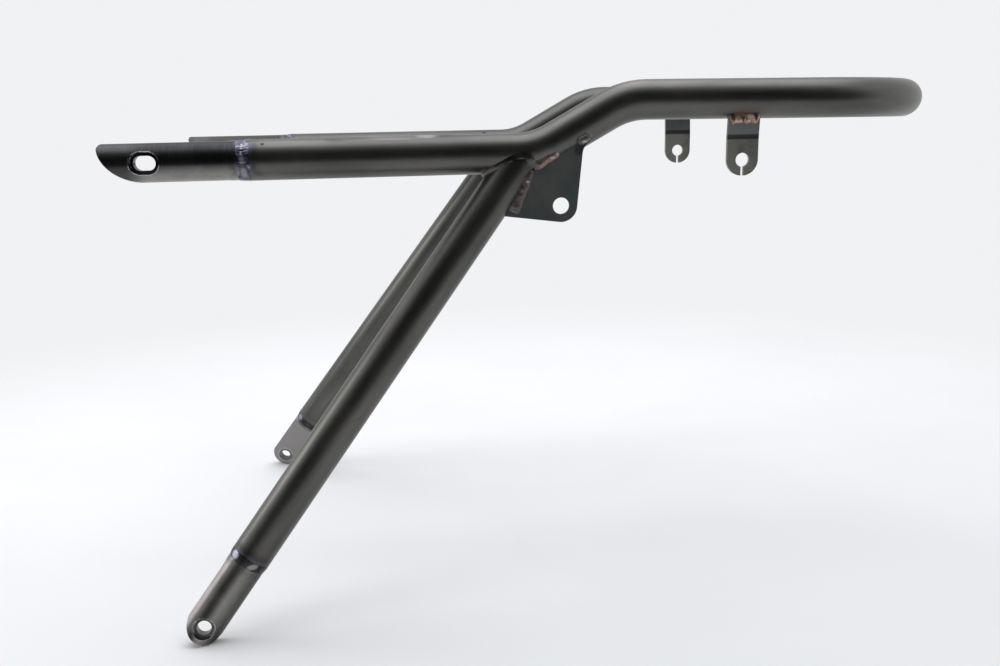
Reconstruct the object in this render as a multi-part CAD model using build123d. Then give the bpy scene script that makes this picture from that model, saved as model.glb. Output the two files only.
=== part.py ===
from build123d import *
import math
import os

os.makedirs("parts", exist_ok=True)

# Motorcycle rear frame, all sizes in millimetres.
# X points to the rear, Z points up, Y points to the right-hand side.
# Origin: axis through the two upper mounting slots, on the mid-plane.

# Tube stock
tube_od = 25.0
tube_wall = 2.0
tube_r = tube_od / 2
tube_ir = tube_r - tube_wall

# Cutting blocks reach this far, well past the stock
cutter_reach = 40.0
cutter_overrun = 5.0

# Rails and seat loop, centre-line sizes
slot_half_width = 97.0
loop_half_width = 81.0
kink_x = 237.5
kink_angle = 29.0
loop_rise = 31.5
loop_droop = 0.5
loop_end_x = 503.0
rail_bend_radius = 50.0

# Struts
strut_set_back = 7.9
lower_hole_x = 22.0
lower_hole_y = 147.3
lower_hole_z = -279.5

# Lugs shared sizes
lug_od = 24.0
lug_r = lug_od / 2
lug_flat_offset = 2.5
lug_collar = 5.0
lug_mill_radius = 6.0
spigot_length = 15.0
spigot_clearance = 0.1
spigot_chamfer = 1.5
bolt_bore_depth = 3.6
bolt_bore_diameter = 13.5

# Upper lug
upper_joint = 57.5
upper_nose_radius = 28.0
upper_nose_corner = 3.0
slot_width = 8.8
slot_centres = 4.2

# Lower lug
lower_joint = 47.5
lower_tip = 9.5
lower_hole_diameter = 8.8

# Butt welds between lug and tube
upper_bead_width = 8.0
lower_bead_width = 5.5
butt_height = 0.4
butt_depth = 1.5

# Gusset plate
plate_thickness = 3.0
plate_offset = 9.0
plate_hole_back = 14.3
plate_hole_drop = 33.0
plate_hole_diameter = 10.5
plate_corner_radius = 10.2
plate_bottom_rise = 7.3
plate_edge_lean = 6.1
plate_reach = 70.0

# Fender tab
tab_width = 20.0
tab_thickness = 3.0
tab_from_end = 134.6
tab_hole_z = -7.2
tab_hole_diameter = 8.8
tab_slit = 2.0
tab_offset = 4.8
tab_bend_z = 7.5
tab_lean = 7.0
tab_bend_radius = 3.0

# Fillet welds
feather_trim = 4.0
strut_bead = 2.4
gusset_bead = 2.8
gusset_run_start = -3.5
gusset_run_end = 9.0
corner_run_start = 27.0
corner_run_end = 30.5
corner_web_radius = 9.5
seam_top_z = -12.0
seam_bottom_z = -33.5
seam_top_bead = 2.6
seam_bottom_bead = 3.8
seam_bottom_shift = 3.4
seam_bottom_sink = 1.6
tab_bead = 3.2
tab_bead_drop = 1.5


def arc_at(corner, before, after, radius):
    """Tangent points and middle point of a bend at a corner of the centre line."""
    turn = math.radians(before.get_angle(after))
    reach = radius * math.tan(turn / 2)
    towards = (after - before).normalized()
    centre = corner + towards * (radius / math.cos(turn / 2))
    return corner - before * reach, centre - towards * radius, corner + after * reach


# Centre line of the left rail
slot_point = Vector(0, -slot_half_width, 0)
kink_point = Vector(kink_x, -loop_half_width, 0)
rail_dir = (kink_point - slot_point).normalized()
slope_dir = Vector(math.cos(math.radians(kink_angle)), 0, math.sin(math.radians(kink_angle)))
crest_x = kink_x + loop_rise / math.tan(math.radians(kink_angle))
crest_point = Vector(crest_x, -loop_half_width, loop_rise)
droop = math.radians(loop_droop)
rear_dir = Vector(math.cos(droop), 0, -math.sin(droop))
loop_start = crest_point + rear_dir * (loop_end_x - loop_half_width - crest_x)
loop_rear = loop_start + Vector(0, loop_half_width, 0) + rear_dir * loop_half_width
rail_start = slot_point + rail_dir * upper_joint

kink_in, kink_mid, kink_out = arc_at(kink_point, rail_dir, slope_dir, rail_bend_radius)
crest_in, crest_mid, crest_out = arc_at(crest_point, slope_dir, rear_dir, rail_bend_radius)


def other_side(p):
    return Vector(p.X, -p.Y, p.Z)


left_run = [
    Line(rail_start, kink_in),
    ThreePointArc(kink_in, kink_mid, kink_out),
    Line(kink_out, crest_in),
    ThreePointArc(crest_in, crest_mid, crest_out),
    Line(crest_out, loop_start),
]
right_run = [
    Line(other_side(loop_start), other_side(crest_out)),
    ThreePointArc(other_side(crest_out), other_side(crest_mid), other_side(crest_in)),
    Line(other_side(crest_in), other_side(kink_out)),
    ThreePointArc(other_side(kink_out), other_side(kink_mid), other_side(kink_in)),
    Line(other_side(kink_in), other_side(rail_start)),
]
loop_arc = ThreePointArc(loop_start, loop_rear, other_side(loop_start))
seat_path = Wire(left_run + [loop_arc] + right_run)

start_plane = Plane(origin=rail_start, z_dir=rail_dir)
seat_outer = sweep(start_plane * Circle(tube_r), path=seat_path)
seat_inner = sweep(start_plane * Circle(tube_ir), path=seat_path)

# Strut centre line, left side, from the lower hole up to the rail just ahead of the kink
strut_top_x = kink_x - strut_set_back
strut_top_y = -slot_half_width + (slot_half_width - loop_half_width) * strut_top_x / kink_x
strut_top = Vector(strut_top_x, strut_top_y, 0)
lower_hole = Vector(lower_hole_x, -lower_hole_y, lower_hole_z)
strut_dir = (strut_top - lower_hole).normalized()
strut_length = (strut_top - lower_hole).length

# Lug frames: X along the tube, Y inwards, Z completes the frame
side = Vector(0, 1, 0)
upper_in = (side - rail_dir * side.dot(rail_dir)).normalized()
lower_in = (side - strut_dir * side.dot(strut_dir)).normalized()
upper_frame = Plane(origin=slot_point, x_dir=rail_dir, z_dir=rail_dir.cross(upper_in))
lower_frame = Plane(origin=lower_hole, x_dir=strut_dir, z_dir=strut_dir.cross(lower_in))


def along_x(radius, start, end):
    """Cylinder on the local X axis."""
    return Plane(origin=(start, 0, 0), z_dir=(1, 0, 0)) * extrude(Circle(radius), end - start)


def butt_bead(joint, width):
    """Ring of weld metal filling the groove between lug and tube."""
    half = width / 2
    crown_top = (lug_r + tube_r) / 2 + butt_height
    crown = ThreePointArc((-half, lug_r), (0, crown_top), (half, tube_r))
    walls = Polyline((half, tube_r), (0, tube_r - butt_depth), (-half, lug_r))
    profile = make_face([crown] + walls.edges())
    ring = revolve(profile, Axis.X)
    return Pos(joint, 0, 0) * ring


def side_profile(face):
    """Flat outline in the local XZ plane, made into a block across the lug."""
    return Plane.XZ.offset(-cutter_reach / 2) * extrude(face, cutter_reach)


def lug_blank(tip, joint):
    """Turned bar with a spigot, milled flat on its inner side up to a collar."""
    bar = along_x(lug_r, tip, joint)
    spigot = along_x(tube_ir - spigot_clearance, joint, joint + spigot_length)
    spigot = chamfer(spigot.edges().sort_by(Axis.X)[-1], spigot_chamfer)
    flat_end = joint - lug_collar
    length = flat_end - tip + cutter_overrun
    depth = lug_r + lug_flat_offset + cutter_overrun
    cut = Pos(flat_end - length / 2, depth / 2 - lug_flat_offset, 0)
    cut = cut * Box(length, depth, cutter_reach)
    root = cut.edges().filter_by(Axis.Z).sort_by(Axis.X)[-2:].sort_by(Axis.Y)[0]
    cut = fillet(root, lug_mill_radius)
    return bar - cut + spigot


def pocket(cut_outline, bore_outline):
    """Through opening and its counterbore, entered from the outer side."""
    bore = Plane.XZ.offset(lug_r - bolt_bore_depth) * extrude(bore_outline, cutter_reach)
    return side_profile(cut_outline) + bore


def above(height):
    """Block that covers everything over a height around the top of the strut."""
    size = 8 * tube_od
    return Pos(strut_top_x, -loop_half_width, height + size / 2) * Box(size, size, size)


# Upper lug with its curved nose and slotted hole
nose_centre = upper_nose_radius - lug_r
nose_tip = -math.sqrt(upper_nose_radius ** 2 - (nose_centre - lug_r) ** 2)
nose_disc = Pos(0, nose_centre) * Circle(upper_nose_radius)
nose_length = upper_joint + spigot_length + lug_r
nose_tail = Pos(nose_length / 2, 0) * Rectangle(nose_length, lug_od + 2)
nose_band = Rectangle(2 * nose_length, lug_od)
nose_face = (nose_disc + nose_tail) & nose_band
nose_point = nose_face.vertices().sort_by(Axis.X)[0]
nose_face = fillet(nose_point, upper_nose_corner)
upper_lug = lug_blank(nose_tip - 1, upper_joint) & side_profile(nose_face)
upper_lug -= pocket(
    SlotCenterToCenter(slot_centres, slot_width),
    SlotCenterToCenter(slot_centres, bolt_bore_diameter),
)
upper_bead = butt_bead(upper_joint, upper_bead_width)
upper_lug -= upper_bead

# Lower lug with its full round end and round hole
end_centre = lug_r - lower_tip
end_length = lower_joint + spigot_length + lug_r
end_tail = Pos(end_centre + end_length / 2, 0) * Rectangle(end_length, lug_od)
end_face = Pos(end_centre, 0) * Circle(lug_r) + end_tail
lower_lug = lug_blank(-lower_tip - 1, lower_joint) & side_profile(end_face)
lower_lug -= pocket(Circle(lower_hole_diameter / 2), Circle(bolt_bore_diameter / 2))
lower_bead = butt_bead(lower_joint, lower_bead_width)
lower_lug -= lower_bead

upper_lug = upper_frame * upper_lug
upper_bead = upper_frame * upper_bead
lower_lug = lower_frame * lower_lug
lower_bead = lower_frame * lower_bead

# Struts, with their top ends coped to the rail and the thin horns dressed off
strut_outer = lower_frame * along_x(tube_r, lower_joint, strut_length)
strut_inner = lower_frame * along_x(tube_ir, lower_joint - 1, strut_length + 1)
horn_top = above(-feather_trim)
strut_tube = strut_outer - strut_inner - seat_outer - lower_bead - horn_top

# Seat loop tube, grooved at its two ends for the lug welds
seat_tube = seat_outer - seat_inner - upper_bead - mirror(upper_bead, Plane.XZ)


# Weld collar around the mouth of the strut
rail_skin = sweep(start_plane * Circle(tube_r + strut_bead), path=seat_path)
strut_skin = lower_frame * along_x(tube_r + strut_bead, strut_length - 2.5 * tube_od, strut_length)
strut_weld = (strut_skin & rail_skin) - seat_outer - strut_outer
weld_top = above(strut_bead - feather_trim)
strut_weld = strut_weld - weld_top + (strut_outer & horn_top & rail_skin) - seat_outer - weld_top

# Gusset plate in the corner behind the strut, its middle plane outboard of the rail's axis
plate_y = loop_half_width + plate_offset
plate_hole_x = kink_x + plate_hole_back
plate_hole_z = -plate_hole_drop
bottom_dir = Vector(
    -math.cos(math.radians(plate_bottom_rise)), math.sin(math.radians(plate_bottom_rise))
)
edge_dir = Vector(
    math.sin(math.radians(plate_edge_lean)), math.cos(math.radians(plate_edge_lean))
)
hole_at = Vector(plate_hole_x, plate_hole_z)
bottom_touch = hole_at + Vector(-bottom_dir.Y, bottom_dir.X) * plate_corner_radius
edge_touch = hole_at + Vector(edge_dir.Y, -edge_dir.X) * plate_corner_radius
bisect = ((bottom_touch - hole_at) + (edge_touch - hole_at)).normalized()
corner_mid = hole_at + bisect * plate_corner_radius
plate_left = bottom_touch + bottom_dir * plate_reach
plate_top = edge_touch + edge_dir * plate_reach
plate_outline = make_face(
    [
        Line(plate_left, bottom_touch),
        ThreePointArc(bottom_touch, corner_mid, edge_touch),
        Line(edge_touch, plate_top),
        Line(plate_top, Vector(plate_left.X, plate_top.Y)),
        Line(Vector(plate_left.X, plate_top.Y), plate_left),
    ]
)
plate_outline -= Pos(plate_hole_x, plate_hole_z) * Circle(plate_hole_diameter / 2)
plate_block = Plane.XZ.offset(plate_y - plate_thickness / 2) * extrude(plate_outline, plate_thickness)
beside_hole = Vector(plate_hole_x + 0.8 * plate_corner_radius, -plate_y, plate_hole_z)
plate_parts = (plate_block - seat_outer - strut_outer).solids()
plate = [s for s in plate_parts if s.is_inside(beside_hole)][0]


def weld_run(start, end, start_bead, end_bead):
    """Straight weld run with rounded ends, from one bead radius to another."""
    length = (end - start).length
    taper = math.degrees(math.atan2(start_bead - end_bead, length))
    shaft = Plane(origin=start, z_dir=end - start) * extrude(Circle(start_bead), length, taper=taper)
    return shaft + Pos(*start) * Sphere(start_bead) + Pos(*end) * Sphere(end_bead)


def largest(shape):
    return shape.solids().sort_by(SortBy.VOLUME)[-1]


# Welds of the gusset plate, on its outer face
face_y = -(plate_y + plate_thickness / 2)
face_drop = math.sqrt(tube_r ** 2 - (plate_offset + plate_thickness / 2) ** 2)
under_drop = math.sqrt(tube_r ** 2 - (plate_offset - plate_thickness / 2) ** 2)
slope_down = Vector(slope_dir.Z, 0, -slope_dir.X)
seam_base = Vector(kink_x, face_y, 0) + slope_down * face_drop
gusset_rail_weld = weld_run(
    seam_base + slope_dir * gusset_run_start,
    seam_base + slope_dir * gusset_run_end,
    gusset_bead,
    gusset_bead,
)
gusset_rail_weld = largest(gusset_rail_weld - seat_outer - plate_block - strut_outer - strut_weld)
gusset_corner_weld = weld_run(
    seam_base + slope_dir * corner_run_start,
    seam_base + slope_dir * corner_run_end,
    gusset_bead,
    gusset_bead,
)

# Concave web of weld metal between the plate's rear edge and the underside of the tube
edge_up = Vector(edge_dir.X, 0, edge_dir.Y)
edge_base = Vector(edge_touch.X, 0, edge_touch.Y)
under_base = Vector(kink_x, 0, 0) + slope_down * under_drop
across = edge_up.X * slope_dir.Z - edge_up.Z * slope_dir.X
gap = under_base - edge_base
edge_run = (gap.X * slope_dir.Z - gap.Z * slope_dir.X) / across
web_corner = edge_base + edge_up * edge_run
web_low, web_mid, web_high = arc_at(web_corner, edge_up, slope_dir, corner_web_radius)
web_rise = slope_down * (face_drop - under_drop - gusset_bead)
web_back = web_corner - slope_dir * gusset_bead
web_sides = Polyline(web_high, web_high + web_rise, web_back + web_rise, web_low)
web_face = make_face([ThreePointArc(web_low, web_mid, web_high)] + web_sides.edges())
web = Pos(0, -plate_y, 0) * extrude(web_face, plate_thickness / 2, dir=(0, 1, 0), both=True)
gusset_corner_weld = largest(gusset_corner_weld + web - seat_outer - plate_block)


def strut_seam(height):
    """Point where the plate's outer face meets the back of the strut."""
    high = strut_top_x + plate_reach
    along = (height - strut_top.Z) / strut_dir.Z
    low = (strut_top + strut_dir * along).X
    for _ in range(30):
        middle = (low + high) / 2
        arm = Vector(middle, face_y, height) - strut_top
        if arm.cross(strut_dir).length < tube_r:
            low = middle
        else:
            high = middle
    return Vector(high, face_y, height)


seam_foot = strut_seam(seam_bottom_z) + Vector(seam_bottom_shift, seam_bottom_sink, 0)
gusset_strut_weld = weld_run(strut_seam(seam_top_z), seam_foot, seam_top_bead, seam_bottom_bead)
gusset_strut_weld = gusset_strut_weld - strut_outer - plate_block - seat_outer
gusset_strut_weld = largest(gusset_strut_weld - strut_weld - gusset_rail_weld)
plate = largest(plate - strut_weld)

# Fender tab: bent strip with a keyhole, its top edge against the tube's lower outer side
tab_x = loop_end_x - tab_from_end
tab_rail_z = loop_rise - (tab_x - crest_x) * math.tan(droop)
tab_y = loop_half_width + tab_offset


def strip_side(shift):
    """One face line of the bent strip, shifted across its thickness."""
    lean = math.radians(tab_lean)
    bend_y = -tab_y + shift
    bend_z = tab_bend_z + shift * math.tan(lean / 2)
    top_y = bend_y - (tab_rail_z - bend_z) * math.tan(lean)
    bottom_z = tab_hole_z - tab_width / 2 - 2
    return [Vector(top_y, tab_rail_z), Vector(bend_y, bend_z), Vector(bend_y, bottom_z)]


half_tab = tab_thickness / 2
strip_points = strip_side(-half_tab) + strip_side(half_tab)[::-1]
strip_face = make_face(Polyline(*strip_points, close=True))
bends = strip_face.vertices().filter_by(lambda v: abs(v.Y - tab_bend_z) < tab_thickness)
strip_face = fillet(bends, tab_bend_radius)
strip = Pos(tab_x - tab_width / 2, 0, 0) * (Plane.YZ * extrude(strip_face, tab_width))
tab_front = Pos(tab_x, tab_hole_z) * Circle(tab_width / 2)
tab_front += Pos(tab_x, tab_hole_z + cutter_reach / 2) * Rectangle(tab_width, cutter_reach)
tab_front -= Pos(tab_x, tab_hole_z) * Circle(tab_hole_diameter / 2)
tab_front -= Pos(tab_x, tab_hole_z - tab_width / 2) * Rectangle(tab_slit, tab_width)
tab = strip & (Plane.XZ.offset(tab_y - cutter_reach / 2) * extrude(tab_front, cutter_reach))
tab = largest(tab - seat_outer)

# Weld of the fender tab, along the line where its outer face meets the tube
lean_rise = math.radians(tab_lean)
face_in = tab_offset + half_tab / math.cos(lean_rise)
lean_reach = (face_in - (tab_bend_z - tab_rail_z) * math.tan(lean_rise)) * math.cos(lean_rise)
seam_angle = math.asin(lean_reach / tube_r) - lean_rise
tab_seam_y = -loop_half_width - tube_r * math.sin(seam_angle)
tab_seam_z = tab_rail_z - tube_r * math.cos(seam_angle) - tab_bead_drop
tab_weld = weld_run(
    Vector(tab_x - tab_width / 2 + tab_bead, tab_seam_y, tab_seam_z),
    Vector(tab_x + tab_width / 2 - tab_bead, tab_seam_y, tab_seam_z),
    tab_bead,
    tab_bead,
)
tab_weld = largest(tab_weld - seat_outer - strip)

pieces = {
    "strut_tube": strut_tube,
    "upper_lug": upper_lug,
    "lower_lug": lower_lug,
    "gusset_plate": plate,
    "fender_tab": tab,
    "upper_lug_weld": upper_bead,
    "lower_lug_weld": lower_bead,
    "strut_rail_weld": strut_weld,
    "gusset_rail_weld": gusset_rail_weld,
    "gusset_corner_weld": gusset_corner_weld,
    "gusset_strut_weld": gusset_strut_weld,
    "fender_tab_weld": tab_weld,
}

export_step(largest(seat_tube), "parts/seat_loop_tube.step")
for name, piece in pieces.items():
    solid = largest(piece)
    export_step(solid, f"parts/left_{name}.step")
    export_step(mirror(solid, Plane.XZ), f"parts/right_{name}.step")
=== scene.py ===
"""Motorcycle rear frame: bare welded steel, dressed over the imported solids.

Row frame in metres: X to the rear, Z up, Y to the right-hand side of the machine.
"""

import math

import bmesh
import bpy
from mathutils import Euler, Matrix, Vector, noise


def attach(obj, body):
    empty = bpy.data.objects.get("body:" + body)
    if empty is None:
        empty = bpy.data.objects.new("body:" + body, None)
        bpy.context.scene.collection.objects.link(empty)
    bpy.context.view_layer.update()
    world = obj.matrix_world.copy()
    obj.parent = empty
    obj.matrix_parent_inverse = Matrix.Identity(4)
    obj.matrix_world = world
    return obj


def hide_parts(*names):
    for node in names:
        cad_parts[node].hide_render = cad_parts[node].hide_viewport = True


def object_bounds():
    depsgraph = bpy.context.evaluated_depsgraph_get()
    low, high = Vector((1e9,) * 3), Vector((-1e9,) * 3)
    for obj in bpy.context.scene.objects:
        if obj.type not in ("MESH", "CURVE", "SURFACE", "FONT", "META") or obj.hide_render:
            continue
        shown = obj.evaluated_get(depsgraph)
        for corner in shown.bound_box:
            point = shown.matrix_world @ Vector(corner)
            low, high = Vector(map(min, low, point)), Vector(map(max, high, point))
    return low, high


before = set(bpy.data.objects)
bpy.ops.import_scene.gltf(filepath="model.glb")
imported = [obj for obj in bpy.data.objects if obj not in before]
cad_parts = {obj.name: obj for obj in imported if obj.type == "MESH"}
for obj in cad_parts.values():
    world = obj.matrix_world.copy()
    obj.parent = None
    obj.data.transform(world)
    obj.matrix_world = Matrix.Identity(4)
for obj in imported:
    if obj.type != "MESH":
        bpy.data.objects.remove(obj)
cad_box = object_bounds()

MM = 0.001

# Tube, rails and loop
tube_r = 12.5 * MM
slot_half_width = 97.0 * MM
loop_half_width = 81.0 * MM
kink_x = 237.5 * MM
kink_slope = math.radians(29.0)
loop_rise = 31.5 * MM
loop_droop = math.radians(0.5)
loop_end_x = 503.0 * MM
loop_start_x = loop_end_x - loop_half_width
bend_radius = 50.0 * MM

# Struts and lugs
strut_top_x = kink_x - 7.9 * MM
lower_hole = Vector((22.0 * MM, -147.3 * MM, -279.5 * MM))
lug_r = 12.0 * MM
upper_joint = 57.5 * MM
lower_joint = 47.5 * MM
lug_flat_offset = 2.5 * MM
lug_collar = 5.0 * MM
slot_half_length = 2.1 * MM
counterbore_r = 6.75 * MM

# Butt welds
upper_bead_half = 4.0 * MM
lower_bead_half = 2.75 * MM
butt_depth = 1.5 * MM

# Gusset plate and its welds: ends along the slope and heights on the strut, legs at each end
plate_offset = 10.5 * MM
plate_face_y = -loop_half_width - plate_offset
gusset_run = (-3.5 * MM, 9.0 * MM)
gusset_run_legs = (3.2 * MM, 2.4 * MM)
gusset_seam_heights = (-33.5 * MM, -12.0 * MM)
gusset_seam_legs = (3.4 * MM, 2.4 * MM)

# Fender tab, leaning outward above its bend
tab_x = loop_end_x - 134.6 * MM
tab_half_width = 10.0 * MM
tab_half_thickness = 1.5 * MM
tab_offset = 4.8 * MM
tab_bend_z = 7.5 * MM
tab_lean = math.radians(7.0)
tab_bead = 3.2 * MM
tab_bead_leg = 3.0 * MM

# Lines of the left side
slot_point = Vector((0, -slot_half_width, 0))
kink_point = Vector((kink_x, -loop_half_width, 0))
rail_dir = (kink_point - slot_point).normalized()
slope_dir = Vector((math.cos(kink_slope), 0, math.sin(kink_slope)))
crest_x = kink_x + loop_rise / math.tan(kink_slope)
strut_top = slot_point.lerp(kink_point, strut_top_x / kink_x)
strut_dir = (strut_top - lower_hole).normalized()


def square_to(direction, wish):
    """Unit vector square to a direction, as near as can be to a wished one."""
    return (wish - direction * wish.dot(direction)).normalized()


inward = Vector((0, 1, 0))
upper_in = square_to(rail_dir, inward)
lower_in = square_to(strut_dir, inward)


# Node wiring


class Graph:
    """Short hand for wiring the nodes of one material."""

    def __init__(self, name):
        self.material = bpy.data.materials.new(name)
        self.material.use_nodes = True
        self.tree = self.material.node_tree
        self.tree.nodes.clear()
        self.point = self.node("ShaderNodeTexCoord").outputs["Object"]

    def node(self, kind, **settings):
        made = self.tree.nodes.new(kind)
        for key, value in settings.items():
            setattr(made, key, value)
        return made

    def feed(self, socket, value):
        if isinstance(value, bpy.types.NodeSocket):
            self.tree.links.new(value, socket)
        elif isinstance(value, (tuple, list)) and len(value) == 3 and len(socket.default_value) == 4:
            socket.default_value = (*value, 1.0)
        else:
            socket.default_value = value

    def math(self, operation, a, b=0.0, c=0.0, clamp=False):
        made = self.node("ShaderNodeMath", operation=operation, use_clamp=clamp)
        for socket, value in zip(made.inputs, (a, b, c)):
            self.feed(socket, value)
        return made.outputs[0]

    def dot(self, a, b):
        made = self.node("ShaderNodeVectorMath", operation="DOT_PRODUCT")
        self.feed(made.inputs[0], a)
        self.feed(made.inputs[1], tuple(b))
        return made.outputs["Value"]

    def offset(self, a, b):
        made = self.node("ShaderNodeVectorMath", operation="SUBTRACT")
        self.feed(made.inputs[0], a)
        self.feed(made.inputs[1], tuple(b))
        return made.outputs[0]

    def split(self, vector):
        made = self.node("ShaderNodeSeparateXYZ")
        self.feed(made.inputs[0], vector)
        return made.outputs

    def join(self, x, y, z):
        made = self.node("ShaderNodeCombineXYZ")
        for socket, value in zip(made.inputs, (x, y, z)):
            self.feed(socket, value)
        return made.outputs[0]

    def scaled(self, parts, scales):
        """Vector of coordinate parts, each with its own scale."""
        return self.join(*(self.math("MULTIPLY", p, s) for p, s in zip(parts, scales)))

    def noise(self, where, scale=1.0, detail=3.0, rough=0.55, distortion=0.0):
        made = self.node("ShaderNodeTexNoise")
        self.feed(made.inputs["Vector"], where)
        made.inputs["Scale"].default_value = scale
        made.inputs["Detail"].default_value = detail
        made.inputs["Roughness"].default_value = rough
        made.inputs["Distortion"].default_value = distortion
        return made.outputs["Fac"]

    def step(self, value, low, high):
        """Smooth step from 0 at low to 1 at high; low may be the larger."""
        made = self.node("ShaderNodeMapRange", interpolation_type="SMOOTHSTEP", clamp=True)
        flip = low > high
        self.feed(made.inputs["Value"], value)
        made.inputs["From Min"].default_value = min(low, high)
        made.inputs["From Max"].default_value = max(low, high)
        made.inputs["To Min"].default_value = 1.0 if flip else 0.0
        made.inputs["To Max"].default_value = 0.0 if flip else 1.0
        return made.outputs["Result"]

    def ramp(self, value, stops):
        made = self.node("ShaderNodeValToRGB")
        self.feed(made.inputs[0], value)
        elements = made.color_ramp.elements
        while len(elements) < len(stops):
            elements.new(0.5)
        for element, (place, colour) in zip(elements, stops):
            element.position = place
            element.color = (*colour, 1.0)
        return made.outputs["Color"]

    def blend(self, factor, a, b, mode="MIX"):
        made = self.node("ShaderNodeMix", data_type="RGBA", blend_type=mode)
        self.feed(made.inputs["Factor"], factor)
        self.feed(made.inputs[6], a)
        self.feed(made.inputs[7], b)
        return made.outputs[2]

    def film(self, colour, tone, where, low, high, share):
        """A tone laid over a colour, from nothing at low to its full share at high."""
        return self.blend(self.times(self.step(where, low, high), share), colour, tone)

    def times(self, *values):
        total = values[0]
        for value in values[1:]:
            total = self.math("MULTIPLY", total, value)
        return total

    def hypotenuse(self, a, b):
        squares = self.math("ADD", self.times(a, a), self.times(b, b))
        return self.math("POWER", squares, 0.5)

    def near(self, place, radii):
        """1 at a place and 0 beyond its radii along X, Y and Z."""
        away = self.offset(self.point, place)
        parts = self.scaled(self.split(away), [1.0 / r for r in radii])
        made = self.node("ShaderNodeVectorMath", operation="LENGTH")
        self.feed(made.inputs[0], parts)
        return self.step(made.outputs["Value"], 1.0, 0.35)

    def finish(self, colour, roughness, height, depth, metallic=1.0):
        """Steel shader with its colour, roughness and a fine relief."""
        bump = self.node("ShaderNodeBump")
        bump.inputs["Strength"].default_value = 1.0
        bump.inputs["Distance"].default_value = depth
        self.feed(bump.inputs["Height"], height)
        shader = self.node("ShaderNodeBsdfPrincipled")
        self.feed(shader.inputs["Metallic"], metallic)
        self.feed(shader.inputs["Base Color"], colour)
        self.feed(shader.inputs["Roughness"], roughness)
        self.feed(shader.inputs["Normal"], bump.outputs[0])
        out = self.node("ShaderNodeOutputMaterial")
        self.feed(out.inputs["Surface"], shader.outputs[0])
        return self.material


# Puts the noise of the right-hand side half a metre away from that of the left
side_shift = 0.5


def seat_run(g):
    """Coordinates along, across and above the centre line of the seat loop tube."""
    x, y, z = g.split(g.point)
    off_middle = g.math("ABSOLUTE", y)
    past = g.math("MAXIMUM", g.math("SUBTRACT", x, loop_start_x), 0.0)
    turned = g.math("MULTIPLY", g.math("ARCTAN2", past, off_middle), loop_half_width)
    along = g.math("ADD", g.math("MINIMUM", x, loop_start_x), turned)
    reach = g.hypotenuse(past, off_middle)
    splay = g.math("MAXIMUM", g.math("SUBTRACT", kink_x, along), 0.0)
    splay = g.math("MULTIPLY", splay, -rail_dir.y / rail_dir.x)
    across = g.math("ADD", g.math("SUBTRACT", reach, loop_half_width), splay)
    climb = g.times(g.math("SUBTRACT", along, kink_x), math.tan(kink_slope))
    climb = g.math("MINIMUM", g.math("MAXIMUM", climb, 0.0), loop_rise)
    sag = g.times(g.math("MAXIMUM", g.math("SUBTRACT", x, crest_x), 0.0), math.tan(loop_droop))
    above = g.math("ADD", g.math("SUBTRACT", z, climb), sag)
    return along, across, above


def seat_grain(g):
    """The same, but measured from the middle of the loop, one side up and the other down."""
    along, across, above = seat_run(g)
    middle = loop_start_x + loop_half_width * math.pi / 2
    side = g.math("SIGN", g.split(g.point)[1])
    return g.times(side, g.math("SUBTRACT", middle, along)), across, above


def line_run(origin, direction, across):
    """Coordinates along, across and above a straight line and its mirror image."""

    def run(g):
        x, y, z = g.split(g.point)
        mirrored = g.join(x, g.math("MULTIPLY", g.math("ABSOLUTE", y), -1.0), z)
        away = g.offset(mirrored, origin)
        sideways = g.math("ADD", g.dot(away, across), g.times(g.math("SIGN", y), side_shift))
        return g.dot(away, direction), sideways, g.dot(away, direction.cross(across))

    return run


upper_run = line_run(slot_point, rail_dir, upper_in)
strut_run = line_run(lower_hole, strut_dir, lower_in)


# Steel finishes, colours linear
scale_dark = (0.078, 0.078, 0.074)
scale_mid = (0.108, 0.107, 0.099)
scale_light = (0.150, 0.146, 0.136)
brown_film = (0.115, 0.098, 0.086)
pink_film = (0.230, 0.195, 0.190)
soot = (0.020, 0.019, 0.020)
violet_tint = (0.072, 0.073, 0.112)
# A pale violet for painted glints on the welds.
painted_glint_violet = (0.300, 0.290, 0.380)
# The black and the light turned tones are painted shade and painted reflected light on the lugs' sides.
painted_shade_turned = (0.026, 0.026, 0.027)
turned_dark = (0.050, 0.050, 0.051)
painted_lit_turned = (0.230, 0.226, 0.212)
milled_grey = (0.300, 0.290, 0.280)
plate_blue = (0.085, 0.095, 0.098)
plate_olive = (0.130, 0.131, 0.117)
tab_olive = (0.265, 0.267, 0.235)
tab_blue = (0.170, 0.182, 0.195)
rust_dark = (0.100, 0.055, 0.040)
rust_light = (0.360, 0.220, 0.160)
rust_beige = (0.620, 0.520, 0.430)
weld_pink = (0.270, 0.190, 0.175)
weld_grey = (0.180, 0.175, 0.165)
# Bright steel, pale pink, pale lilac and the pale grey below are tones of painted highlights and
# glints; lilac grey is a weld tone.
painted_glint_white = (0.560, 0.550, 0.570)
lilac_grey = (0.300, 0.290, 0.320)
painted_highlight_pink = (0.400, 0.365, 0.365)
painted_glint_lilac = (0.640, 0.620, 0.760)
painted_glint_grey = (0.330, 0.325, 0.320)
# Marks of a tone above this are chalky and don't mirror: pale rust lies on the metal, and the pale
# glints are painted highlights.
chalky_from = 0.25
# Heights of the fine relief
drawn_relief = 0.03 * MM
rolled_relief = 0.02 * MM
weld_relief = 0.12 * MM


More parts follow.
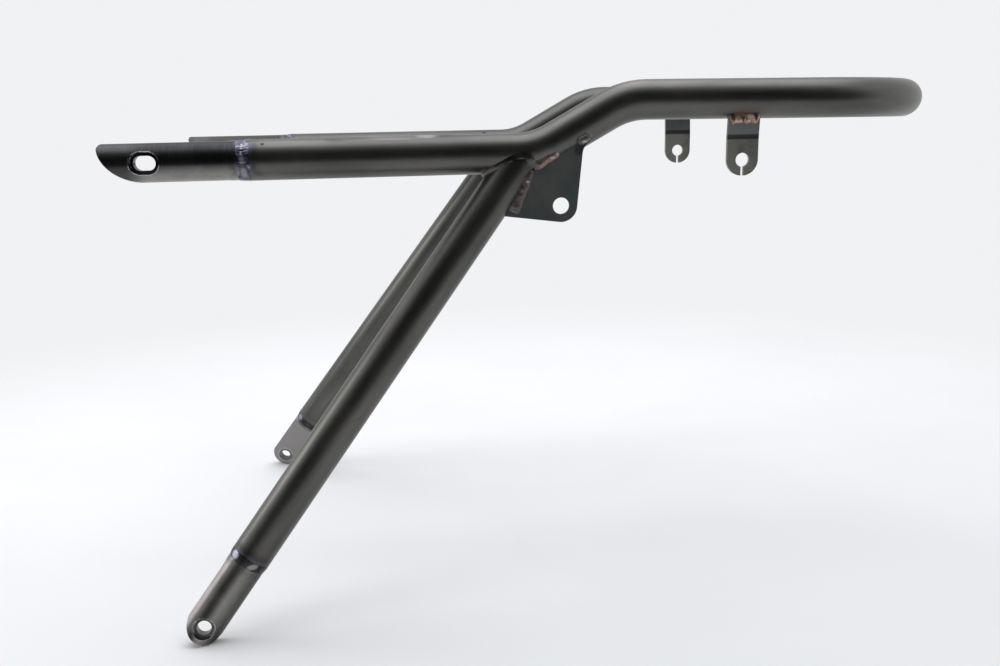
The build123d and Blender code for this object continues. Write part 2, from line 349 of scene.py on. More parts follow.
def drawn_steel(g, run):
    """Colour, roughness and relief of a drawn tube with thin mill scale."""
    place = run(g)
    cloud = g.noise(g.scaled(place, (16.0, 70.0, 70.0)), detail=5.0)
    lines = g.noise(g.scaled(place, (30.0, 1500.0, 1500.0)), detail=2.0)
    grain = g.noise(g.point, 1400.0, detail=3.0, rough=0.6)
    blotch = g.noise(g.scaled(place, (55.0, 150.0, 150.0)), detail=4.0, distortion=0.6)
    colour = g.ramp(cloud, [(0.30, scale_dark), (0.52, scale_mid), (0.78, scale_light)])
    colour = g.film(colour, brown_film, blotch, 0.56, 0.72, 0.45)
    colour = g.film(colour, scale_light, lines, 0.62, 0.80, 0.25)
    colour = g.film(colour, scale_dark, grain, 0.62, 0.75, 0.4)
    roughness = g.math("MULTIPLY_ADD", cloud, 0.12, 0.27)
    roughness = g.math("MULTIPLY_ADD", lines, 0.08, roughness)
    relief = g.math("MULTIPLY_ADD", lines, 0.5, g.times(grain, 0.5))
    return colour, roughness, relief


def heat_band(g, colour, roughness, distance, reach, share):
    """Heat tint beside a weld: a thin blue line at the toe, then dull soot."""
    wander = g.noise(g.point, 160.0, detail=3.0)
    patches = g.noise(g.point, 75.0, detail=2.0)
    place = g.math("DIVIDE", g.math("ABSOLUTE", distance), reach)
    place = g.math("MULTIPLY_ADD", g.math("SUBTRACT", wander, 0.5), 0.5, place)
    tint = g.ramp(place, [(0.0, violet_tint), (0.15, violet_tint), (0.35, soot), (1.0, soot)])
    cover = g.times(g.step(place, 1.0, 0.2), g.step(patches, 0.36, 0.60), share)
    return g.blend(cover, colour, tint), g.math("MULTIPLY_ADD", cover, 0.06, roughness)


def with_marks(g, colour, marks):
    """Lay single marks over a colour: place and reach in millimetres, tone, share.

    Gives the colour and how metallic each spot is: pale marks are chalky, and the pale glints among
    them are painted highlights.
    """
    chalk = 0.0
    for place, radii, tone, share in marks:
        mark = g.times(g.near(Vector(place) * MM, [r * MM for r in radii]), share)
        colour = g.blend(mark, colour, tone)
        if max(tone) > chalky_from:
            chalk = g.math("MAXIMUM", chalk, mark)
    return colour, g.math("SUBTRACT", 1.0, chalk)


# Marks seen on the rails; the bright steel one on the near rail's top is a painted highlight
tube_marks = [
    ((69.8, -100.2, 9.6), (1.6, 1.6, 1.6), soot, 0.9),
    ((168.0, -89.0, 12.2), (9.0, 5.0, 2.5), painted_glint_white, 0.45),
    ((180.0, -87.5, 12.4), (6.0, 4.0, 2.0), soot, 0.7),
    ((145.0, -90.5, 11.5), (26.0, 6.0, 3.0), pink_film, 0.55),
    ((112.0, -95.0, 10.5), (9.0, 3.0, 3.0), soot, 0.35),
    ((210.8, 76.0, 10.5), (2.0, 2.0, 2.0), soot, 0.8),
    ((203.6, -90.0, -10.5), (3.5, 4.0, 3.0), rust_light, 0.5),
    ((268.5, -91.0, 10.0), (4.5, 4.0, 2.5), weld_grey, 0.6),
    ((240.0, -92.5, 3.0), (9.0, 4.0, 5.0), pink_film, 0.35),
    ((330.0, -82.0, 43.0), (60.0, 10.0, 4.0), pink_film, 0.35),
    ((296.0, -84.0, 42.0), (20.0, 8.0, 5.0), pink_film, 0.45),
]


def tube_finish():
    g = Graph("drawn_tube_steel")
    colour, roughness, relief = drawn_steel(g, seat_grain)
    along = seat_run(g)[0]
    toe = g.math("SUBTRACT", along, (upper_joint + upper_bead_half) * rail_dir.x)
    colour, roughness = heat_band(g, colour, roughness, toe, 9.0 * MM, 0.6)
    for side in (-1, 1):
        joint = Vector((strut_top.x, side * abs(strut_top.y), -9.0 * MM))
        smoke = g.near(joint, (30.0 * MM, 22.0 * MM, 9.0 * MM))
        colour = g.blend(g.times(smoke, 0.4), colour, soot)
        seam = Vector((tab_x, side * abs(tab_seam.y), tab_seam.z))
        scorch = g.near(seam, (15.0 * MM, 7.0 * MM, 7.0 * MM))
        colour = g.blend(g.times(scorch, 0.55), colour, rust_dark)
    colour, metal = with_marks(g, colour, tube_marks)
    return g.finish(colour, roughness, relief, drawn_relief, metal)


def strut_finish():
    g = Graph("strut_tube_steel")
    colour, roughness, relief = drawn_steel(g, strut_run)
    along = strut_run(g)[0]
    toe = g.math("SUBTRACT", along, lower_joint + lower_bead_half)
    colour, roughness = heat_band(g, colour, roughness, toe, 8.0 * MM, 0.5)
    top = (strut_top - lower_hole).length
    colour = g.film(colour, soot, along, top - 34.0 * MM, top - 12.0 * MM, 0.35)
    return g.finish(colour, roughness, relief, drawn_relief)


def milled_part(g, across):
    """1 on the flat milled along the inner side of a lug."""
    side = g.math("SIGN", g.split(g.point)[1])
    inward_by = g.math("SUBTRACT", across, g.times(side, side_shift))
    return g.step(inward_by, -lug_flat_offset - 0.3 * MM, -lug_flat_offset - 0.1 * MM)


def counterbore_painted_light(g, colour, along, above, half_length):
    """Painted highlight on the broken rim of a round or slotted counterbore, and painted shade inside
    it.
    """
    past_end = g.math("SUBTRACT", g.math("ABSOLUTE", along), half_length)
    ring = g.hypotenuse(g.math("MAXIMUM", past_end, 0.0), above)
    rim = g.math("ABSOLUTE", g.math("SUBTRACT", ring, counterbore_r))
    # Painted highlight along the counterbore's rim.
    rim = g.step(rim, 0.60 * MM, 0.15 * MM)
    rim = g.times(rim, g.step(g.noise(g.point, 420.0, detail=2.0), 0.38, 0.52))
    colour = g.blend(g.times(rim, 0.7), colour, painted_glint_white)
    # Painted shade inside the counterbore.
    return g.film(colour, soot, ring, counterbore_r - 0.6 * MM, counterbore_r - 1.3 * MM, 0.6)


def lug_finish(name, run, joint, toe_at, hole_half_length, painted_shading_stops, front_shade=0.0, marks=()):
    """Turned and milled lug: fine turning lines, a painted highlight on the counterbore's rim and heat
    tint.

    Its stops are the painted shading around it, from its lower side, at 0, to its upper side,
    at 1. The front shade is painted shade that darkens it towards its tip.
    """
    g = Graph(name)
    along, across, above = run(g)
    turning = g.noise(g.scaled((along, across, above), (2600.0, 40.0, 40.0)), detail=2.0)
    cloud = g.noise(g.point, 90.0, detail=5.0)
    grain = g.noise(g.point, 1600.0, detail=2.0)
    # Painted shading: the lug's tones from its lower to its upper side, by how the light falls.
    colour = g.ramp(g.math("MULTIPLY_ADD", above, 0.5 / lug_r, 0.5), painted_shading_stops)
    dapple = g.math("MULTIPLY_ADD", cloud, 0.8, 0.6)
    colour = g.blend(1.0, colour, g.join(dapple, dapple, dapple), "MULTIPLY")
    # Painted shade, darker towards the tip.
    colour = g.film(colour, turned_dark, along, 2.0 * MM, -12.0 * MM, front_shade)
    collar_end = joint - lug_collar
    milled = g.step(along, collar_end + 0.3 * MM, collar_end - 0.3 * MM)
    milled = g.times(milled_part(g, across), milled)
    colour = g.blend(milled, colour, milled_grey)
    colour = g.film(colour, scale_light, turning, 0.55, 0.75, 0.3)
    toe = g.math("SUBTRACT", toe_at, along)
    roughness = g.math("MULTIPLY_ADD", cloud, 0.10, 0.27)
    roughness = g.math("MULTIPLY_ADD", milled, 0.15, roughness)
    colour, roughness = heat_band(g, colour, roughness, toe, 6.0 * MM, 0.5)
    colour = counterbore_painted_light(g, colour, along, above, hole_half_length)
    relief = g.math("MULTIPLY_ADD", turning, 0.5, g.times(grain, 0.5))
    colour, metal = with_marks(g, colour, marks)
    metal = g.times(metal, g.math("SUBTRACT", 1.0, g.times(milled, 0.5)))
    return g.finish(colour, roughness, relief, drawn_relief, metal)


def plate_finish(name, tone, patch, share, bend_z=None, marks=()):
    """Hot-rolled sheet: dark scale, patches of another tone, rolling lines, and at a bend a bluer tone
    above it with painted shade along its crease.
    """
    g = Graph(name)
    cloud = g.noise(g.point, 55.0, detail=5.0)
    patches = g.noise(g.point, 38.0, detail=3.0)
    grain = g.noise(g.point, 1500.0, detail=3.0)
    rolled = g.noise(g.scaled(g.split(g.point), (900.0, 60.0, 60.0)), detail=2.0)
    colour = g.ramp(cloud, [(0.3, scale_dark), (0.5, tone), (0.8, tone)])
    colour = g.film(colour, patch, patches, 0.45, 0.65, share)
    colour = g.film(colour, scale_light, rolled, 0.6, 0.8, 0.25)
    colour = g.film(colour, brown_film, grain, 0.64, 0.74, 0.4)
    if bend_z is not None:
        height = g.split(g.point)[2]
        colour = g.film(colour, tab_blue, height, bend_z, bend_z + 1.0 * MM, 0.75)
        # Painted shade along the crease of the bend.
        crease_shade = g.math("ABSOLUTE", g.math("SUBTRACT", height, bend_z - 0.3 * MM))
        colour = g.film(colour, soot, crease_shade, 1.9 * MM, 1.1 * MM, 0.85)
    colour, metal = with_marks(g, colour, marks)
    roughness = g.math("MULTIPLY_ADD", cloud, 0.12, 0.38)
    return g.finish(colour, roughness, g.math("ADD", grain, rolled), rolled_relief, g.times(metal, 0.5))


def weld_finish(name, stops, speck_tone, speck_share, marks, gloss=0.22, bare=1.0):
    """Weld metal: a cloudy tone, bright or dark specks and single marks.

    The gloss is its least roughness. The bare share is 1 for clean metal and less where
    rust or slag covers it.
    """
    g = Graph(name)
    cloud = g.noise(g.point, 260.0, detail=4.0)
    speck = g.noise(g.point, 900.0, detail=3.0)
    colour = g.ramp(cloud, stops)
    colour = g.film(colour, speck_tone, speck, 0.60, 0.70, speck_share)
    colour = g.film(colour, soot, speck, 0.40, 0.30, 0.5)
    colour, metal = with_marks(g, colour, marks)
    roughness = g.math("MULTIPLY_ADD", cloud, 0.18, gloss)
    relief = g.math("MULTIPLY_ADD", cloud, 2.0, g.times(speck, 0.5))
    return g.finish(colour, roughness, relief, weld_relief, g.times(metal, bare))


# Spots seen on single welds: the white, pale violet, pale lilac and pale grey ones are painted glints,
# and at the strut's mouth a painted highlight runs along the toe above a dark band.
upper_weld_marks = [
    ((57.6, -102.2, 8.8), (1.0, 5.0, 2.2), painted_glint_white, 0.9),
    ((57.4, -105.0, 4.4), (0.9, 5.0, 1.6), painted_glint_white, 0.7),
    ((57.8, -105.6, 1.0), (2.0, 6.0, 4.5), painted_glint_violet, 0.45),
    ((58.2, -103.5, -7.2), (2.6, 7.0, 5.0), lilac_grey, 0.8),
]
lower_weld_marks = [
    ((43.0, -146.4, -234.9), (3.6, 4.5, 3.4), painted_glint_lilac, 0.95),
    ((54.0, -150.4, -242.4), (4.6, 4.0, 2.4), painted_glint_grey, 0.9),
    ((41.5, 130.5, -236.6), (4.0, 4.0, 4.0), painted_glint_violet, 0.9),
]
cope_marks = [
    ((223.0, -96.1, -7.6), (9.0, 6.0, 2.2), soot, 0.45),
    ((223.2, -96.2, -4.6), (6.0, 5.0, 1.0), painted_glint_white, 0.6),
]


# Weld beads: faces across, how the ripples bend back, drift and stand up, sharp edges, seams
bead_faces_across = 10
sweep_back = 0.6
drift_scale = 400.0
drift_share = 0.25
ripple_power = 0.7
ripple_middle = 0.6
sharp_turn = math.radians(50.0)
seam_step = 0.17 * MM
seam_depth = 0.5 * MM


def bead_row(station, run, crown, ripple, pitch):
    """Points across a bead from toe to toe, then its root; run is the way along it so far."""
    toe_a, toe_b, root, out, swell = station
    row = []
    for k in range(bead_faces_across + 1):
        w = k / bead_faces_across
        arch = 4 * w * (1 - w)
        place = toe_a.lerp(toe_b, w)
        drift = noise.noise(place * drift_scale) * drift_share
        phase = run / pitch + sweep_back * (2 * w - 1) ** 2 + drift
        wave = abs(math.sin(math.pi * phase)) ** ripple_power
        lift = (crown * arch + ripple * arch ** 0.5 * (wave - ripple_middle)) * swell
        row.append(place + out * lift)
    return row + [root]


def bead_skin(count, row, closed):
    """Faces that join the rows of a bead, with a cap on each open end."""
    faces = []
    for index in range(count if closed else count - 1):
        here = index * row
        there = (index + 1) % count * row
        for k in range(row):
            beside = (k + 1) % row
            faces.append((here + k, here + beside, there + beside, there + k))
    if not closed:
        faces.append(tuple(range(row))[::-1])
        last = (count - 1) * row
        faces.append(tuple(last + k for k in range(row)))
    return faces


def bead_mesh(name, stations, closed, **shape):
    """Weld bead of overlapping ripples.

    A station is its two toes, its root, its way out and how much the bead swells there.
    """
    vertices = []
    run = 0.0
    before = None
    for station in stations:
        middle = (station[0] + station[1]) / 2
        if before is not None:
            run += (middle - before).length
        before = middle
        vertices += bead_row(station, run, **shape)
    mesh = bpy.data.meshes.new(name)
    faces = bead_skin(len(stations), bead_faces_across + 2, closed)
    mesh.from_pydata([tuple(v) for v in vertices], [], faces)
    return mesh


def facing_out(mesh):
    """Turn the faces of a closed mesh outward."""
    work = bmesh.new()
    work.from_mesh(mesh)
    bmesh.ops.recalc_face_normals(work, faces=work.faces)
    for edge in work.edges:
        edge.smooth = edge.calc_face_angle(0.0) < sharp_turn
    work.to_mesh(mesh)
    work.free()
    mesh.shade_smooth()


def mirrored(stations):
    """The same stations on the right-hand side."""
    flip = Vector((1, -1, 1))
    return [(a * flip, b * flip, root * flip, out * flip, swell) for a, b, root, out, swell in stations]


def add_bead(part, stations, closed, material, slot, **shape):
    """Put a bead on both sides in place of the plain weld solids."""
    for side, places in (("left", stations), ("right", mirrored(stations))):
        node = f"{side}_{part}"
        mesh = bead_mesh(f"{node}_bead", places, closed, **shape)
        facing_out(mesh)
        mesh.materials.append(material)
        bead = bpy.data.objects.new(f"{node}_bead", mesh)
        bpy.context.collection.objects.link(bead)
        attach(bead, "root")
        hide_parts(node)


def butt_stations(centre, direction, across, pitch, half):
    """Stations around a butt joint, 12 to a ripple, from the lug's skin to the tube's."""
    third = direction.cross(across)
    count = 12 * round(2 * math.pi * tube_r / pitch)
    stations = []
    for index in range(count):
        turn = 2 * math.pi * index / count
        out = across * math.cos(turn) + third * math.sin(turn)
        middle = centre + out * tube_r
        toe = direction * (half + noise.noise(middle * 180.0) * 0.5 * MM)
        root = centre + out * (tube_r - butt_depth)
        stations.append((centre + out * lug_r - toe, middle + toe, root, out, 1.0))
    return stations


def ragged(place, scale):
    """How far a toe reaches, a little uneven along its seam."""
    return 1 + 0.18 * noise.noise(place * scale)


def seam_stations(start, end, legs, on_face, to_tube, on_tube, shares=(1.0, 1.0)):
    """Stations along a straight seam between a flat face and a tube's skin.

    The bead's legs grow from one size to another and taper off at its two ends. The
    shares are how much of a leg lies on the face and on the tube.
    """
    length = (end - start).length
    overall = length + legs[0] + legs[1]
    count = round(overall / seam_step)
    heading = (end - start) / length
    out = (on_face + to_tube).normalized()
    stations = []
    for index in range(count + 1):
        along = -legs[0] + overall * index / count
        share = min(max(along / length, 0.0), 1.0)
        leg = legs[0] + (legs[1] - legs[0]) * share
        spill = max(-along, along - length, 0.0) / leg
        size = math.sqrt(max(1 - spill * spill, 0.0)) + 0.02
        seam = start + heading * along
        reach = leg * size
        toe_a = seam + on_face * reach * shares[0] * ragged(seam, 420.0)
        toe_b = on_tube(seam + to_tube * reach * shares[1] * ragged(seam, -380.0))
        stations.append((toe_a, toe_b, seam - out * seam_depth, out, size * leg / max(legs)))
    return stations


def rail_axis_points():
    """Points of the left rail's centre line, from the lug to the start of the loop."""
    turn = rail_dir.angle(slope_dir)
    reach = bend_radius * math.tan(turn / 2)
    start = kink_point - rail_dir * reach
    up = square_to(rail_dir, slope_dir)
    points = [slot_point]
    bend_steps = 24
    for index in range(bend_steps + 1):
        angle = turn * index / bend_steps
        swing = up * (1 - math.cos(angle)) + rail_dir * math.sin(angle)
        points.append(start + swing * bend_radius)
    points.append(Vector((crest_x, -loop_half_width, loop_rise)))
    points.append(Vector((loop_start_x, -loop_half_width, rear_height(loop_start_x))))
    return points


def rear_height(x):
    """Height of the loop's centre line behind the crest."""
    return loop_rise - (x - crest_x) * math.tan(loop_droop)


rail_points = rail_axis_points()


def rail_nearest(place):
    """Nearest point of the rail's centre line."""
    best = None
    for a, b in zip(rail_points, rail_points[1:]):
        along = b - a
        share = min(max((place - a).dot(along) / along.length_squared, 0.0), 1.0)
        foot = a + along * share
        if best is None or (foot - place).length < (best - place).length:
            best = foot
    return best


def on_rail(place):
    """The place moved onto the rail's skin."""
    foot = rail_nearest(place)
    return foot + (place - foot).normalized() * tube_r


def on_strut(place):
    """The place moved onto the strut's skin."""
    foot = lower_hole + strut_dir * (place - lower_hole).dot(strut_dir)
    return foot + (place - foot).normalized() * tube_r


def cope_corner(side, gap):
    """Point where a line along the strut's skin comes within a gap of the rail's skin."""
    reached = -60.0 * MM
    while reached < 15.0 * MM:
        place = strut_top + strut_dir * reached + side * tube_r
        if (place - rail_nearest(place)).length < tube_r + gap:
            break
        reached += 0.1 * MM
    return strut_top + strut_dir * reached + side * tube_r


def cope_stations(count=360, gap=0.3 * MM, leg=2.4 * MM, depth=1.0 * MM):
    """Stations around the mouth of the strut, where it meets the rail."""
    third = strut_dir.cross(lower_in)
    stations = []
    for index in range(count):
        turn = 2 * math.pi * index / count
        side = lower_in * math.cos(turn) + third * math.sin(turn)
        corner = cope_corner(side, gap)
        normal = (corner - rail_nearest(corner)).normalized()
        away = square_to(normal, side + strut_dir * 0.5)
        wander = 1 + 0.1 * noise.noise(corner * 150.0)
        toe_a = corner - strut_dir * leg * wander
        toe_b = on_rail(corner + away * leg * wander)
        out = ((toe_a + toe_b) / 2 - corner).normalized()
        stations.append((toe_a, toe_b, corner - out * depth, out, 1.0))
    return stations


# Seams of the plate and the tab
plate_out = Vector((0, -1, 0))
slope_down = Vector((slope_dir.z, 0, -slope_dir.x))


def strut_seam(height, halvings=40):
    """Point where the plate's outer face meets the back of the strut."""
    low = (strut_top + strut_dir * (height / strut_dir.z)).x
    high = strut_top_x + 60.0 * MM
    for _ in range(halvings):
        middle = (low + high) / 2
        arm = Vector((middle, plate_face_y, height)) - strut_top
        if arm.cross(strut_dir).length < tube_r:
            low = middle
        else:
            high = middle
    return Vector((high, plate_face_y, height))


def slope_seam(along):
    """Point where the plate's outer face meets the sloped tube, measured from the kink."""
    drop = math.sqrt(tube_r**2 - plate_offset**2)
    return Vector((kink_x, plate_face_y, 0)) + slope_down * drop + slope_dir * along


def tab_seam_point():
    """Point where the middle of the tab's leaning outer face meets the tube."""
    height = rear_height(tab_x)
    face = tab_offset + tab_half_thickness / math.cos(tab_lean)
    reach = (face + (height - tab_bend_z) * math.tan(tab_lean)) * math.cos(tab_lean)
    turn = math.asin(reach / tube_r) - tab_lean
    y = -loop_half_width - tube_r * math.sin(turn)
    return Vector((tab_x, y, height - tube_r * math.cos(turn)))


tab_seam = tab_seam_point()


# Dress the solids


def dress(node, material):
    """Give a solid a finish through its object's own slots."""
    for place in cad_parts[node].material_slots:
        place.link = "OBJECT"
        place.material = material


# Tones around the upper lug from its lower side to its upper: painted reflected light below, painted
# shade on top.
upper_lug_painted_shading = [(0.0, painted_lit_turned), (0.20, painted_lit_turned), (0.45, turned_dark), (0.9, painted_shade_turned)]
plate_marks = [((263.4, -91.0, 1.6), (4.5, 4.0, 5.0), soot, 0.7)]
# Painted highlight on the lit nose of the far upper lug.
far_nose_highlight = [((-17.0, 99.0, 10.5), (11.0, 14.0, 5.0), painted_glint_grey, 0.8)]
# Tones around the lower lug from its lower side to its upper: painted shade low down, a painted
# highlight along its upper side.
lower_lug_painted_shading = [
    (0.04, turned_dark), (0.25, scale_light), (0.45, painted_lit_turned),
    (0.60, scale_light), (0.84, scale_light), (0.95, painted_highlight_pink),
]


def dress_solids():
    dress("seat_loop_tube", tube_finish())
    upper_toe = upper_joint - upper_bead_half
    lower_toe = lower_joint - lower_bead_half
    finishes = {
        "strut_tube": strut_finish(),
        "upper_lug": lug_finish(
            "upper_lug_steel", upper_run, upper_joint, upper_toe, slot_half_length,
            upper_lug_painted_shading, front_shade=0.9, marks=far_nose_highlight,
        ),
        "lower_lug": lug_finish(
            "lower_lug_steel", strut_run, lower_joint, lower_toe, 0.0, lower_lug_painted_shading
        ),
        "gusset_plate": plate_finish(
            "gusset_plate_steel", plate_blue, plate_olive, 0.6, marks=plate_marks
        ),
        "fender_tab": plate_finish("fender_tab_steel", tab_olive, plate_olive, 0.5, tab_bend_z),
        "gusset_corner_weld": corner_weld_finish(),
    }
    for part, material in finishes.items():
        for side in ("left", "right"):
            dress(f"{side}_{part}", material)


def corner_weld_finish():
    stops = [(0.35, scale_dark), (0.6, scale_mid), (0.8, weld_grey)]
    # The bright steel mark is a painted highlight; the others are darker and greyer patches.
    marks = [
        ((263.0, -93.0, 3.2), (2.4, 4.0, 2.0), soot, 0.5),
        ((266.8, -93.6, 7.0), (4.0, 4.0, 1.8), weld_grey, 0.7),
        ((266.4, -93.6, 6.6), (2.6, 4.0, 0.9), painted_glint_white, 0.7),
        ((268.4, -92.0, 4.4), (1.6, 4.0, 0.8), weld_grey, 0.9),
    ]
    return weld_finish("corner_weld_metal", stops, weld_grey, 0.3, marks, gloss=0.25, bare=0.45)


def butt_welds():
    stops = [(0.30, turned_dark), (0.5, violet_tint), (0.7, lilac_grey)]
    shape = {"crown": 0.15 * MM, "ripple": 0.16 * MM, "pitch": 1.9 * MM}
    steel = weld_finish("upper_weld_metal", stops, weld_grey, 0.35, upper_weld_marks)
    joint = slot_point + rail_dir * upper_joint
    places = butt_stations(joint, rail_dir, upper_in, shape["pitch"], upper_bead_half)
    add_bead("upper_lug_weld", places, True, steel, "blued_weld", **shape)
    stops = [(0.30, soot), (0.6, turned_dark), (0.85, scale_mid)]
    steel = weld_finish("lower_weld_metal", stops, weld_grey, 0.2, lower_weld_marks)
    joint = lower_hole + strut_dir * lower_joint
    places = butt_stations(joint, strut_dir, lower_in, shape["pitch"], lower_bead_half)
    add_bead("lower_lug_weld", places, True, steel, "blued_weld", **shape)


def strut_mouth_weld():
    stops = [(0.35, scale_dark), (0.6, scale_mid), (0.8, scale_mid)]
    steel = weld_finish("mouth_weld_metal", stops, scale_dark, 0.3, cope_marks)
    add_bead(
        "strut_rail_weld", cope_stations(), True, steel, "dark_weld",
        crown=0.3 * MM, ripple=0.06 * MM, pitch=2.6 * MM,
    )


def gusset_run_weld():
    to_rail = (plate_out * 0.5 - slope_down * 0.85).normalized()
    start, end = (slope_seam(along) for along in gusset_run)
    places = seam_stations(
        start, end, gusset_run_legs, slope_down, to_rail, on_rail, shares=(0.7, 1.0)
    )
    stops = [(0.30, rust_dark), (0.5, weld_pink), (0.75, weld_pink)]
    # Rust at the lower end; the bright steel marks are painted highlights along the bead's top.
    marks = [
        ((236.6, -93.5, -9.6), (4.0, 5.0, 3.0), rust_dark, 0.7),
        ((243.0, -94.2, -5.2), (3.0, 4.0, 1.2), rust_light, 0.7),
        ((246.4, -94.3, -2.9), (2.8, 4.0, 1.2), painted_glint_white, 0.8),
        ((249.6, -94.2, -0.7), (1.8, 4.0, 1.5), painted_glint_white, 0.9),
    ]
    steel = weld_finish("gusset_rail_weld_metal", stops, weld_grey, 0.3, marks, gloss=0.20, bare=0.55)
    add_bead(
        "gusset_rail_weld", places, False, steel, "rusty_weld",
        crown=0.9 * MM, ripple=0.12 * MM, pitch=2.8 * MM,
    )


def gusset_seam_weld():
    rearward = Vector((1, 0, 0))
    bottom, top = (strut_seam(height) for height in gusset_seam_heights)
    bottom += rearward * gusset_seam_legs[0]
    to_strut = Vector((-0.8, -0.6, 0))
    back = square_to(strut_dir, rearward)
    places = seam_stations(bottom, top, gusset_seam_legs, back, to_strut, on_strut)
    stops = [(0.30, scale_dark), (0.5, brown_film), (0.66, weld_grey), (0.85, weld_pink)]
    # A painted highlight on the bead.
    marks = [((230.8, -93.9, -17.4), (1.3, 4.0, 1.0), painted_glint_white, 0.8)]
    steel = weld_finish("gusset_strut_weld_metal", stops, lilac_grey, 0.3, marks, gloss=0.25, bare=0.6)
    add_bead(
        "gusset_strut_weld", places, False, steel, "rusty_weld",
        crown=0.6 * MM, ripple=0.09 * MM, pitch=1.9 * MM,
    )


def tab_weld():
    reach = Vector((tab_half_width - tab_bead, 0, 0))
    face_down = Vector((0, math.sin(tab_lean), -math.cos(tab_lean)))
    to_rail = Vector((0, -0.9, 0.43))
    legs = (tab_bead_leg, tab_bead_leg)
    middle = tab_seam + face_down * 0.3 * MM
    places = seam_stations(
        middle - reach, middle + reach, legs, face_down, to_rail, on_rail, shares=(1.8, 0.25)
    )
    stops = [(0.30, rust_dark), (0.5, rust_light), (0.75, rust_beige)]
    low, side = tab_seam.z / MM - 2.5, tab_seam.y / MM - 1.0
    marks = [
        ((360.8, side, low), (2.2, 4.0, 4.0), rust_dark, 0.7),
        ((364.5, side, low), (1.6, 4.0, 2.6), rust_light, 0.8),
        ((367.4, side, low - 0.8), (1.2, 4.0, 3.0), soot, 0.8),
        ((371.8, side, low + 0.8), (3.4, 4.0, 2.0), rust_beige, 0.9),
        ((371.0, side, low - 1.8), (1.6, 4.0, 1.0), rust_beige, 0.8),
        ((375.4, side, low), (1.0, 4.0, 3.0), soot, 0.9),
        ((377.4, side, low + 0.4), (1.3, 4.0, 1.6), rust_beige, 0.8),
    ]
    steel = weld_finish("tab_weld_metal", stops, rust_beige, 0.5, marks, gloss=0.25, bare=0.75)
    add_bead(
        "fender_tab_weld", places, False, steel, "rusty_weld",
        crown=1.2 * MM, ripple=0.35 * MM, pitch=2.4 * MM,
    )


# Studio, sizes in metres
room_white = (0.88, 0.885, 0.90)
curtain_tones = ((0.028, 0.028, 0.030), (0.04, 0.04, 0.042))
floor_tones = ((0.80, 0.80, 0.80), (0.83, 0.83, 0.83))
floor_height = cad_box[0][2]
floor_centre = Vector((0.24, 0.0, floor_height))
floor_radius = 1.1
curtain_centre = Vector((0.25, -1.0, 0.1))
curtain_radius = 2.4


def studio_sky():
    """Pale room all around."""
    world = bpy.data.worlds.new("studio_room")
    bpy.context.scene.world = world
    world.use_nodes = True
    tree = world.node_tree
    tree.nodes.clear()
    back = tree.nodes.new("ShaderNodeBackground")
    back.inputs["Color"].default_value = (*room_white, 1)
    out = tree.nodes.new("ShaderNodeOutputWorld")
    tree.links.new(back.outputs[0], out.inputs["Surface"])


def flat_sheet(name, rim):
    """One flat face inside a rim."""
    mesh = bpy.data.meshes.new(name)
    mesh.from_pydata(rim, [], [tuple(range(len(rim)))])
    sheet = bpy.data.objects.new(name, mesh)
    bpy.context.collection.objects.link(sheet)
    return sheet


def round_rim(radius, count):
    """Offsets of the points around a circle."""
    turns = [2 * math.pi * k / count for k in range(count)]
    return [(radius * math.cos(turn), radius * math.sin(turn)) for turn in turns]


def dark_curtain():
    """Dark curtain behind the camera, fading out at its edge: the steel mirrors it."""
    middle = curtain_centre
    rim = [
        (middle.x + along, middle.y, max(middle.z + up, floor_height))
        for along, up in round_rim(curtain_radius, 48)
    ]
    curtain = flat_sheet("dark_curtain", rim)
    curtain.visible_camera = False
    faded_sheet(curtain.data, "curtain_cloth", middle, *curtain_tones, 0.8, curtain_radius)


def studio_floor():
    """Pale round floor that fades into the room."""
    rim = [
        (floor_centre.x + x, floor_centre.y + y, floor_height)
        for x, y in round_rim(floor_radius, 96)
    ]
    floor = flat_sheet("studio_floor", rim)
    faded_sheet(floor.data, "pale_floor", floor_centre, *floor_tones, 0.42, 1.0)


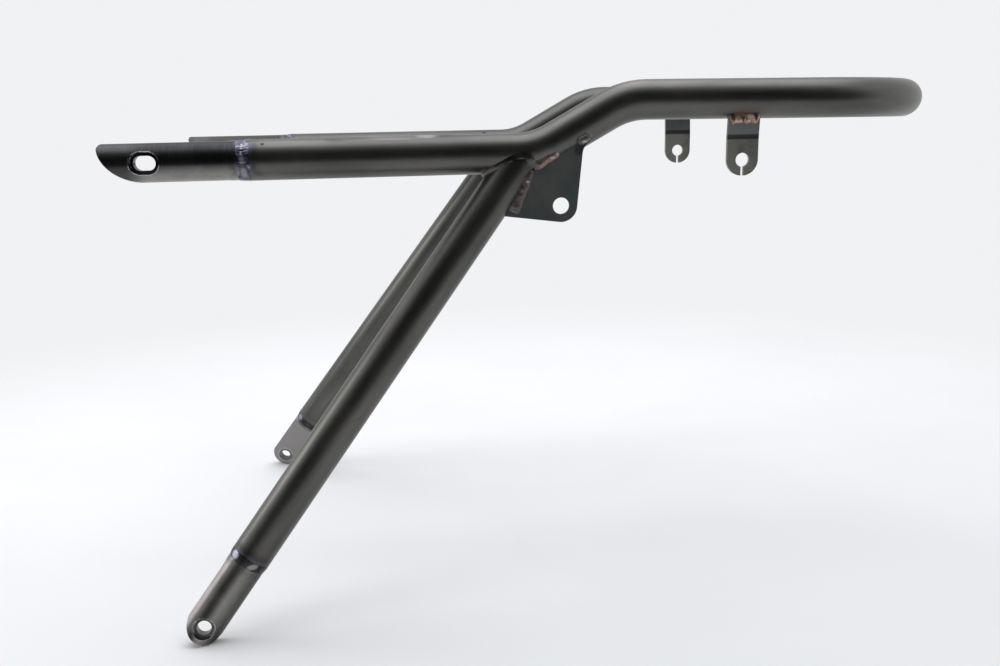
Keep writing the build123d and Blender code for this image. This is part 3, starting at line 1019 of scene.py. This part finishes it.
def faded_sheet(mesh, name, centre, dark, light, fade_from, fade_to):
    """Matt cloth or paint that fades away between two distances from its centre."""
    g = Graph(name)
    grain = g.noise(g.point, 6.0, detail=2.0)
    paint = g.node("ShaderNodeBsdfDiffuse")
    g.feed(paint.inputs["Color"], g.ramp(grain, [(0.3, dark), (0.7, light)]))
    clear = g.node("ShaderNodeBsdfTransparent")
    away = g.node("ShaderNodeVectorMath", operation="LENGTH")
    g.feed(away.inputs[0], g.offset(g.point, centre))
    mix = g.node("ShaderNodeMixShader")
    g.feed(mix.inputs[0], g.step(away.outputs["Value"], fade_from, fade_to))
    g.feed(mix.inputs[1], paint.outputs[0])
    g.feed(mix.inputs[2], clear.outputs[0])
    out = g.node("ShaderNodeOutputMaterial")
    g.feed(out.inputs["Surface"], mix.outputs[0])
    mesh.materials.append(g.material)


def soft_box(name, place, aim, width, depth, radiance, colour):
    """Rectangular lamp of an even radiance."""
    lamp = bpy.data.lights.new(name, "AREA")
    lamp.shape = "RECTANGLE"
    lamp.size = width
    lamp.size_y = depth
    lamp.energy = radiance * math.pi * width * depth
    lamp.color = colour
    box = bpy.data.objects.new(name, lamp)
    box.location = place
    box.visible_camera = False
    box.rotation_euler = (Vector(aim) - Vector(place)).to_track_quat("-Z", "Y").to_euler()
    bpy.context.collection.objects.link(box)


def photo_camera():
    """Camera at the photograph's place.

    The place, the turns and the focal length come from a fit of the frame's edges.
    """
    focal_share = 0.94
    place = Vector((180.4, -685.2, 23.7)) * MM
    turns = Euler([math.radians(a) for a in (13.067, -2.911, -1.889)], "XYZ")
    axes = turns.to_matrix() @ Matrix(((1, 0, 0), (0, 0, -1), (0, 1, 0)))
    lens = bpy.data.cameras.new("photo_camera")
    lens.sensor_fit = "HORIZONTAL"
    lens.sensor_width = 36.0
    lens.lens = focal_share * lens.sensor_width
    lens.clip_start = 0.01
    camera = bpy.data.objects.new("photo_camera", lens)
    right, down, ahead = axes
    turned = Matrix((right, -down, -ahead)).transposed()
    camera.matrix_world = Matrix.Translation(place) @ turned.to_4x4()
    bpy.context.collection.objects.link(camera)
    bpy.context.scene.camera = camera


dress_solids()
butt_welds()
strut_mouth_weld()
gusset_run_weld()
gusset_seam_weld()
tab_weld()
studio_sky()
studio_floor()
dark_curtain()
soft_box(
    "top_softbox", (0.25, 0.15, 1.25), (0.25, 0.05, 0.0),
    width=1.8, depth=1.15, radiance=2.1, colour=(0.92, 0.94, 1.0),
)
soft_box(
    "left_softbox", (-1.1, 0.05, 0.35), (0.1, -0.1, -0.1),
    width=0.45, depth=0.45, radiance=4.0, colour=(1.0, 1.0, 1.0),
)
photo_camera()
bpy.context.scene.view_settings.view_transform = "Standard"
